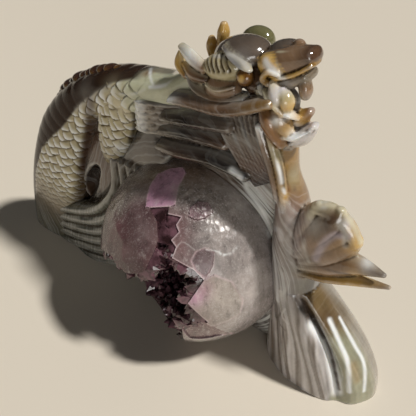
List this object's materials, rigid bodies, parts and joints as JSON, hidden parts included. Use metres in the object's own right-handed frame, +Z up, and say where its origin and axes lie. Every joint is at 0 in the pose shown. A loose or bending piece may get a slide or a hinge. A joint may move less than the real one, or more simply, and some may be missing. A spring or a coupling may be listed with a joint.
{
  "type": "carved agate dragon ornament",
  "caption": "Carved and polished agate dragon arching over an open amethyst geode dome, with raised head, mane, claw and a flared fluted foot, in one stone.",
  "frame": {"origin": "on the ground under the middle of the carving's outline", "axes": "+X along the slab from the arched body to the flared foot, +Y from the geode's open front to the back, +Z up"},
  "size_m": [0.2034, 0.0588, 0.1387],
  "materials": {
    "polished_agate": "high hand polish, banded grey and cream agate with honey brown ends and a pale violet quartz lining"
  },
  "bodies": {
    "root": {"agate_dragon_carving": "polished_agate"}
  },
  "joints": []
}
